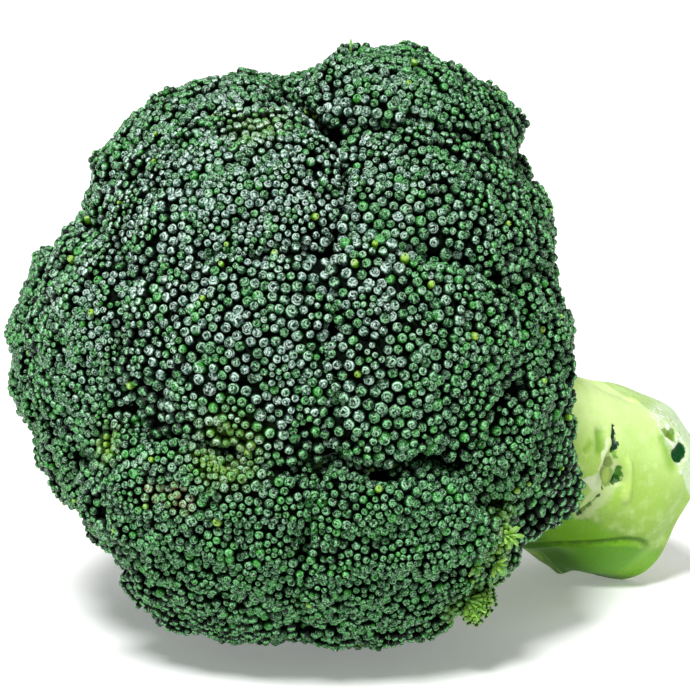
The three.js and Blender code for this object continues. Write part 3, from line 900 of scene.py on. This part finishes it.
def stem_relief(turn, height):
    """How far the stem's skin stands out: cosine ribs, scars as a wide bell less a narrow one,
    the swellings, the marks, and the fold as a groove with a step below it."""
    relief = np.zeros_like(turn)
    for count, depth, twist in STEM_RIBS:
        relief += depth * np.cos(count * np.radians(turn) + twist * height)
    for scar_turn, scar_height in LEAF_SCARS:
        across = turn_from(turn, scar_turn) * TURN_ARC / SCAR_HALF_WIDTH
        away = across**2 + ((height - scar_height) / SCAR_HALF_HEIGHT) ** 2
        relief += SCAR_SWELL * np.exp(-0.7 * away) - SCAR_HOLLOW * np.exp(-3 * away)
    for *place, amount in SWELLINGS:
        relief += amount * bell(turn, height, place)
    across = turn_from(turn, VIEW_TURN) * TURN_ARC
    for start, end, halves, soft, out, _, _ in STEM_MARKS:
        relief += out * strip_share(across, height, start, end, halves, soft + 0.35)
    under = under_fold((turn - VIEW_TURN) * TURN_ARC, height)
    along = smooth_step(height, *FOLD_ENDS[0]) * smooth_step(height, *FOLD_ENDS[1])
    step = np.exp(-((np.clip(under, 0, 30) / FOLD_STEP_WIDTH) ** 2))
    step = FOLD_STEP * smooth_step(under, 0, 1.5) * step
    groove = FOLD_GROOVE * np.exp(-((under / FOLD_GROOVE_WIDTH) ** 2))
    return relief + along * (step - groove)


def stem_skin():
    """The stem's skin from the middle of its cut face, round the edge and up the side into the
    crown: rings of points on the bare radius and its relief, finest on the side in view."""
    turn = join([np.arange(*FINE_TURNS), np.arange(*COARSE_TURNS)])
    face = np.array(FACE_SHARES)
    edge = np.radians(np.arange(0, 91, EDGE_STEP))
    side = join([np.arange(CUT_HEIGHT + CUT_EDGE_ROUNDING, *FINE_HEIGHTS),
                 np.arange(FINE_HEIGHTS[0], *COARSE_HEIGHTS)])[1:]
    edge_height = CUT_HEIGHT + CUT_EDGE_ROUNDING * (1 - np.cos(edge))
    heights = join([CUT_HEIGHT + 0 * face, edge_height, side])
    taken_in = join([0 * face, CUT_EDGE_ROUNDING * (1 - np.sin(edge)), 0 * side])
    shares = join([face, np.ones(len(edge) + len(side))])
    turns, rows = np.meshgrid(turn, heights)
    turns = turn_from(turns, 0)
    shaped = np.maximum(rows, CUT_HEIGHT + CUT_EDGE_ROUNDING)
    radius = stem_radius(shaped) + stem_relief(turns, rows)
    radius -= CUT_EDGE_ROUNDING * (shares[:, None] < 1)
    radius = (radius - taken_in[:, None]) * shares[:, None]
    points = around(np.radians(turns), radius, rows)
    x, y, z = np.moveaxis(points[:len(face)], -1, 0)
    z += FACE_RIPPLE * np.sin(x * 0.9) * np.sin(y * 0.7 + 1)
    ends = np.array([[0, 0, CUT_HEIGHT], [0, 0, STEM_TOP]])
    points = join([points.reshape(-1, 3), ends])
    return points + stem_bow(points[:, 2]), closed_faces(len(heights), len(turn))


def grown_together(limbs):
    """The limbs joined into one body by a voxel remesh and smoothed: its points and faces."""
    shape = Shape()
    for points, faces in limbs:
        shape.add(points[None], faces)
    rough = shape.build("limbs", [])
    remesh = rough.modifiers.new("join", "REMESH")
    remesh.mode = "VOXEL"
    remesh.voxel_size = VOXEL * MM
    graph = bpy.context.evaluated_depsgraph_get()
    whole = bpy.data.meshes.new_from_object(rough.evaluated_get(graph))
    bpy.data.objects.remove(rough)
    row = np.empty(len(whole.vertices) * 3)
    whole.vertices.foreach_get("co", row)
    edges = np.empty(len(whole.edges) * 2, dtype=np.int32)
    whole.edges.foreach_get("vertices", edges)
    corners = np.empty(len(whole.loops), dtype=np.int32)
    whole.loops.foreach_get("vertex_index", corners)
    points = smoothed(from_row(row.reshape(-1, 3)), edges.reshape(-1, 2), SMOOTHING_ROUNDS)
    return points, corners.reshape(-1, 4)


def make_stalk(florets, material):
    """The stem's skin and the branches under the crown, as one piece."""
    limbs = [stem_tube()]
    for floret in florets:
        limbs += branch_limbs(floret)
    shape = Shape()
    for points, faces in (stem_skin(), grown_together(limbs)):
        shape.add(points[None], faces)
    plant = join(shape.points)
    shape.points = [plant + UP * below(plant, LOWEST_SKIN)[:, None]]
    piece = shape.build("stalk_skin", [material])
    local = plant - stem_bow(plant[:, 2])
    turn = np.degrees(np.arctan2(local[:, 1], local[:, 0]))
    # How far each point faces up once the head lies, for the stem's painted light and shade
    upward = np.cos(np.radians(turn + 20))
    skin = np.stack([(turn - VIEW_TURN) * TURN_ARC, plant[:, 2], upward], axis=1)
    where = piece.data.attributes.new("skin", "FLOAT_VECTOR", "POINT")
    where.data.foreach_set("vector", skin.ravel())
    pith = piece.data.attributes.new("pith", "FLOAT", "POINT")
    pith.data.foreach_set("value", np.hypot(local[:, 0], local[:, 1]))
    return piece


class Value:
    """A socket's value. Arithmetic on it adds Math nodes."""

    def __init__(self, paint, socket):
        self.paint = paint
        self.socket = socket

    def math(self, operation, *values):
        """A Math node with this value first."""
        inputs = dict(enumerate((self, *values)))
        return self.paint.node("ShaderNodeMath", {"operation": operation}, inputs)

    __add__ = __radd__ = lambda self, other: self.math("ADD", other)
    __mul__ = __rmul__ = lambda self, other: self.math("MULTIPLY", other)
    __sub__ = lambda self, other: self.math("SUBTRACT", other)
    __rsub__ = lambda self, other: (self * -1).math("ADD", other)
    __truediv__ = lambda self, other: self.math("DIVIDE", other)

    def __pow__(self, other):
        return self * self if other == 2 else self.math("POWER", other)

    def smooth(self, low, high):
        """0 below low, 1 above high and a smooth step between; high may be the lower of the two."""
        inputs = {"Value": self, "From Min": low, "From Max": high}
        return self.paint.node("ShaderNodeMapRange", {"interpolation_type": "SMOOTHSTEP"}, inputs)

    def parts(self):
        """The three numbers of a vector or a colour."""
        split = self.paint.tree.nodes.new("ShaderNodeSeparateXYZ")
        self.paint.tree.links.new(self.socket, split.inputs[0])
        return [Value(self.paint, output) for output in split.outputs]


class Paint:
    """A material being built, whose nodes all come from one method."""

    def __init__(self, name):
        self.material = bpy.data.materials.new(name)
        self.material.use_nodes = True
        self.tree = self.material.node_tree
        self.tree.nodes.clear()

    def node(self, kind, settings=None, inputs=None, output=0):
        """A node of a kind: its settings, then its sockets' values or links. Gives one output."""
        made = self.tree.nodes.new(kind)
        for key, value in (settings or {}).items():
            setattr(made, key, value)
        for key, value in (inputs or {}).items():
            if isinstance(value, Value):
                self.tree.links.new(value.socket, made.inputs[key])
            else:
                made.inputs[key].default_value = value
        return Value(self, made.outputs[output]) if len(made.outputs) else None

    def mix(self, factor, low, high):
        """From one colour to another by a factor."""
        sockets = {0: factor, 6: low, 7: high}
        return self.node("ShaderNodeMix", {"data_type": "RGBA"}, sockets, output=2)

    def coats(self, base, *coats):
        """A colour with coats laid over it in turn, each with its share and its screen colour."""
        for share, shown in coats:
            base = self.mix(share, base, colour(*shown))
        return base

    def place(self):
        """Object coordinates."""
        return self.node("ShaderNodeTexCoord", output=3)

    def noise(self, size, detail=3, rough=0.55, where=None):
        """Noise from about 0 to 1, with features of a size in millimetres."""
        sockets = {"Vector": where or self.place(), "Scale": 1 / (size * MM), "Detail": detail,
                   "Roughness": rough}
        return self.node("ShaderNodeTexNoise", {}, sockets)

    def carried(self, name, output=0):
        """What the mesh carries under a name: a colour, or another output of the node."""
        return self.node("ShaderNodeAttribute", {"attribute_name": name}, output=output)

    def bump(self, height, distance, strength=1.0):
        """A normal bent by a height, whose full step is a distance in millimetres."""
        sockets = {"Height": height, "Distance": distance * MM, "Strength": strength}
        return self.node("ShaderNodeBump", {}, sockets)

    def surface(self, inputs):
        """The finished material: a Principled shader on the output."""
        shader = self.node("ShaderNodeBsdfPrincipled", {}, inputs)
        self.node("ShaderNodeOutputMaterial", {}, {"Surface": shader})
        return self.material


def colour(red, green, blue):
    """A colour given as it looks on screen, from 0 to 255, in the shader's linear numbers."""
    screen = np.array([red, green, blue]) / 255
    linear = np.where(screen <= 0.04045, screen / 12.92, ((screen + 0.055) / 1.055) ** 2.4)
    return (*linear.tolist(), 1.0)


def bud_material():
    """Closed buds: a dark green body whose sides go near black, partly their darker green and partly
    painted shade of the gaps between buds; a glaucous wax towards the tip, gathered with painted
    light on the side that faces the key light; pale curls where the sepals fold over one another,
    partly painted highlight; painted glints of highlight; and a dimple in the tip, painted dark as
    shade. The disc gives the distance from the tip, and the tint each bud's tone, lime, glaucous
    wax with painted light, and clump share."""
    paint = Paint("bud_skin")
    x, y, _ = paint.node("ShaderNodeUVMap", {"uv_map": "UVMap"}).parts()
    x, y = x * 2 - 1, y * 2 - 1
    away = (x * x + y * y) ** 0.5
    tone, lime, bloom_and_light = paint.carried("tint").parts()
    seam = x.math("ABSOLUTE").math("MINIMUM", y.math("ABSOLUTE"))
    grain = paint.noise(0.55, detail=2)
    patch = paint.noise(24, detail=2)
    glint = paint.noise(0.30, detail=1)
    fresh = tone.smooth(0.84, 0.98)
    young = paint.carried("tint", 3).smooth(0.60, 0.10) * 0.6
    rust = (lime * -1).smooth(0.1, 0.6)
    body = paint.coats(
        paint.mix(tone, colour(2, 30, 12), colour(6, 52, 20)),
        (young, (14, 76, 8)), (fresh, (20, 110, 8)), (lime, (92, 150, 20)), (rust, (70, 44, 20)),
    )
    # Each bud's tip colour: its glaucous coat is gathered towards the key light as painted light
    top = paint.coats(
        paint.mix(patch.smooth(0.35, 0.65), colour(6, 60, 12), colour(8, 66, 26)),
        (bloom_and_light.smooth(0.0, 0.8) * 0.9, (58, 104, 88)), (tone.smooth(0.55, 0.0) * 0.75, (4, 32, 16)),
        (young, (34, 108, 22)), (fresh * 0.75, (36, 142, 20)), (lime, (160, 204, 50)),
        (rust, (120, 88, 50)),
    )
    # Pale marks: a crescent on one side of each bud, a curl near its tip and the sepals' margins;
    # partly the sepals' pale edges, partly painted highlight, whitest where the glaucous wax and
    # painted light are strongest
    rim = (away - 0.42).math("ABSOLUTE").smooth(0.10, 0.03) * x.smooth(-0.15, 0.10)
    curl = (away - 0.20).math("ABSOLUTE").smooth(0.07, 0.02) * y.smooth(-0.05, 0.08)
    margin = seam.smooth(0.20, 0.13) * away.smooth(0.60, 0.45) * grain.smooth(0.45, 0.60) * 0.6
    pale = rim.math("MAXIMUM", curl).math("MAXIMUM", margin) * grain.smooth(0.32, 0.52)
    wax_and_highlight = paint.mix(bloom_and_light.smooth(0.0, 0.5), colour(116, 204, 120), colour(222, 250, 238))
    # Each bud goes from its tip colour to a darker body on its sides: partly their darker green,
    # partly painted shade
    body = paint.mix(away.smooth(0.60, 0.36), body, top)
    body = paint.mix(pale * (0.92 - lime * 0.4), body, wax_and_highlight)
    body = paint.coats(
        body,
        # Painted highlight: bright glints towards each bud's tip
        (glint.smooth(0.60, 0.68) * away.smooth(0.60, 0.40) * 0.65, (224, 246, 232)),
        # Painted shade: the dimple at each bud's tip, dark like a small pit in shade
        (away.smooth(0.24, 0.08) * grain.smooth(0.62, 0.48) * 0.9, (1, 20, 8)),
        # Painted shade: near black on each bud's skirt, less on lime buds, standing for the shade in
        # the gaps between buds
        (away.smooth(0.46, 0.68) * (0.97 - lime.math("MAXIMUM", 0) * 0.7), (0, 5, 1)),
    )
    return paint.surface({
        "Base Color": body, "Roughness": 0.20 + 0.18 * grain, "Specular IOR Level": 0.2,
        "Normal": paint.bump(glint * 0.5 + grain, 0.25),
    })


def core_material():
    """The tangle of bud stalks under the buds: painted near black as shade on its upper side,
    where it shows between the buds, and green, its own colour, on its underside.
    """
    paint = Paint("bud_stalks_and_shade")
    _, lime, high = paint.carried("tint").parts()
    grain = paint.noise(1.2, detail=4)
    # Painted shade: near black where the core shows between the buds
    dark = paint.mix(grain.smooth(0.35, 0.7), colour(0, 4, 1), colour(4, 20, 6))
    green = paint.mix(grain.smooth(0.3, 0.7), colour(60, 98, 30), colour(128, 160, 62))
    body = paint.mix(high.smooth(0.62, 0.30), dark, green)
    return paint.surface({
        "Base Color": paint.coats(body, (lime * 0.6, (110, 150, 30))), "Roughness": 0.8,
        "Specular IOR Level": 0.1, "Normal": paint.bump(grain, 0.8),
    })


def stalk_material():
    """Waxy stem skin: yellow green, with painted light and shade: paler above, with a whitish
    haze and pale flecks there that are partly its wax and partly painted highlight, and painted
    shade in dark green below, under the fold and along its crease; with its scars, the fold, the
    peeled corner with a painted highlight on its facet, and the cut face."""
    paint = Paint("stem_skin")
    across, height, upward = paint.carried("skin", 1).parts()
    pith = paint.carried("pith", 2)
    broad = paint.noise(15, detail=3)
    mottle = paint.noise(3.0, detail=4)
    speck = paint.noise(0.8, detail=2)
    wet_and_sheen = paint.noise(1.5, detail=3)
    u = across + (mottle - 0.5) * 1.6 + (speck - 0.5) * 0.7
    v = height + (paint.noise(2.6, detail=3) - 0.5) * 1.8 + (paint.noise(0.9, detail=2) - 0.5) * 0.6

    low_side = upward.smooth(0.35, -0.1)
    under = under_fold(u, v)
    # Masks for painted shade on the stem's lower side: a saturated green band lower down and round
    # from the side in view, the fold, and the fold's crease
    lower_green_shade = (u * -1 - 12.5).smooth(0, 2.5) * height.smooth(-70, -76)
    on_fold = height.smooth(-99, -95) * height.smooth(-68, -74)
    crease = under.math("ABSOLUTE").smooth(1.2, 0.1)
    # Painted light and shade: the skin paler on its upper side and darker green on its lower side
    body = paint.mix((upward + (broad - 0.5) * 0.5).smooth(-0.75, 0.35), colour(80, 128, 10),
                     colour(160, 198, 84))
    body = paint.coats(
        body,
        # Painted light: the whitish haze, partly the skin's wax, laid on the upper side only
        ((upward + (broad - 0.5) * 0.7).smooth(0.25, 1.0), (214, 240, 160)),
        (broad.smooth(0.5, 0.7) * 0.5, (158, 206, 48)),
        (mottle.smooth(0.45, 0.75) * 0.30, (220, 238, 172)),
        # Painted highlight: pale flecks, partly the skin's own, shown on the upper side only
        (speck.smooth(0.62, 0.75) * upward.smooth(0.2, 0.9) * 0.4, (236, 246, 208)),
        (height.smooth(-66, -44) * 0.6, (112, 158, 52)),
        (height.smooth(-24, 6) * 0.7, (60, 104, 32)),
        # Painted shade: darker, saturated greens on the lower side, under the fold and along its
        # crease
        (lower_green_shade * low_side * 0.8, (118, 176, 14)),
        (under.smooth(0.5, 2.0) * on_fold * low_side * 0.85, (92, 154, 24)),
        ((u * -1 - 26).smooth(-2, 5) * low_side * 0.85, (64, 116, 10)),
        (crease * on_fold * 0.7, (66, 118, 6)),
    )

    peel_edge = PEEL_HEIGHT - ((PEEL_FROM - u).math("MAXIMUM", 0) ** PEEL_POWER) * PEEL_FALL
    peeled = (v - peel_edge).smooth(0.7, -0.7) * across.smooth(1.0, 4.0) * u.smooth(44, 40)
    ridge = (u + v * 0.9).smooth(-58.0, -62.5)
    rim = (v + 98.5).smooth(1.5, -1.5)
    body = paint.coats(
        body,
        (peeled * 0.8, (206, 230, 176)),
        (peeled * (1 - ridge) * 0.6, (178, 214, 112)),
        # Painted highlight: a near-white sheen, mottled, on the peeled facet below its ridge
        (peeled * ridge * wet_and_sheen.smooth(0.50, 0.60) * (1 - rim) * 0.9, (246, 252, 240)),
        (peeled * rim * 0.7, (210, 234, 194)),
        *((strip_share(u, v, start, end, halves, soft) * strength, shown)
          for start, end, halves, soft, _, shown, strength in STEM_MARKS),
    )

    ring = pith.smooth(13, 16) * pith.smooth(20.5, 18.5)
    face = paint.mix(ring, colour(222, 232, 186), colour(170, 196, 110))
    face = paint.coats(face, (mottle.smooth(0.4, 0.7) * 0.4, (196, 208, 140)))
    cut = height.smooth(CUT_HEIGHT + 0.9, CUT_HEIGHT + 0.3)
    return paint.surface({
        "Base Color": paint.mix(cut, body, face), "Roughness": 0.34 + 0.2 * mottle - 0.15 * peeled,
        "Specular IOR Level": 0.3, "Subsurface Weight": 0.12,
        "Subsurface Radius": (0.9, 1.0, 0.3), "Subsurface Scale": 0.003,
        "Normal": paint.bump(mottle * 0.5 + speck * 0.3 + wet_and_sheen * peeled * 0.8, 0.5),
    })


def floor_material():
    """A plain pale floor that glows a little: painted light that keeps it pale and its shadows
    light.
    """
    paint = Paint("floor_white")
    tone = paint.noise(60, detail=1)
    shade = paint.mix(tone * 0.2, (0.86, 0.86, 0.86, 1), (0.84, 0.84, 0.84, 1))
    return paint.surface({
        "Base Color": shade, "Roughness": 0.8, "Emission Color": (1, 1, 1, 1),
        "Emission Strength": FLOOR_GLOW,
    })


def make_floor():
    """A round sheet, wide enough to fill the view."""
    turn = np.linspace(0, 2 * math.pi, 64, endpoint=False)
    shape = Shape()
    rim = from_row(around(turn, FLOOR_RADIUS * MM, 0))
    shape.add(rim[None], [range(len(rim))])
    shape.build("floor", [floor_material()])


def make_camera():
    """The camera, at the photograph's angle and distance, aimed beside the crown's middle."""
    level = math.cos(ELEVATION)
    back = np.array([math.sin(AZIMUTH) * level, -math.cos(AZIMUTH) * level, math.sin(ELEVATION)])
    right = np.array([math.cos(AZIMUTH), math.sin(AZIMUTH), 0])
    up = np.cross(back, right)
    aim = CROWN_AT + AIM_RIGHT * right + AIM_UP * up
    camera = put("camera", bpy.data.cameras.new("camera"))
    camera.data.lens = LENS
    camera.data.sensor_width = 36
    camera.data.clip_start = 0.01
    matrix = np.eye(4)
    matrix[:3] = np.stack([right, up, back, (aim + CAMERA_DISTANCE * back) * MM], axis=1)
    camera.matrix_world = mathutils.Matrix(matrix.tolist())
    bpy.context.scene.camera = camera


def make_lights():
    """Far lights, each shining from a direction on to the part: a high soft key from the camera's
    left and a wide light from above, with a pale room round it all."""
    for name, towards, strength, spread in LIGHTS:
        light = bpy.data.lights.new(name, "SUN")
        light.energy = strength
        light.angle = math.radians(spread)
        turn = mathutils.Vector(towards).to_track_quat("Z", "Y")
        put(name, light).rotation_euler = turn.to_euler()
    world = bpy.data.worlds.new("room")
    world.use_nodes = True
    background = world.node_tree.nodes["Background"]
    background.inputs["Color"].default_value = (1, 1, 1, 1)
    background.inputs["Strength"].default_value = ROOM_LIGHT
    bpy.context.scene.world = world
    bpy.context.scene.view_settings.view_transform = "Standard"


def make_florets(florets):
    """One piece for each floret, of its core and its buds."""
    materials = [bud_material(), core_material()]
    for floret in florets:
        shape = Shape()
        add_buds(shape, floret)
        for row in SHOOTS:
            if row[0] == floret.number:
                add_shoots(shape, row)
        add_core(shape, floret)
        piece = shape.build(f"{floret.name}_buds", materials)
        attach(piece, "root")
        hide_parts(floret.name)


def grow_florets():
    """All the lobes, with their walls and clumps."""
    florets = [Floret(k + 1, row) for k, row in enumerate(FLORETS)]
    for floret in florets:
        floret.add_walls([other for other in florets if other is not floret])
        place_clumps(floret)
    return florets


florets = grow_florets()
make_camera()
make_lights()
make_floor()
stalk = make_stalk(florets, stalk_material())
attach(stalk, "root")
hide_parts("stalk")
make_florets(florets)
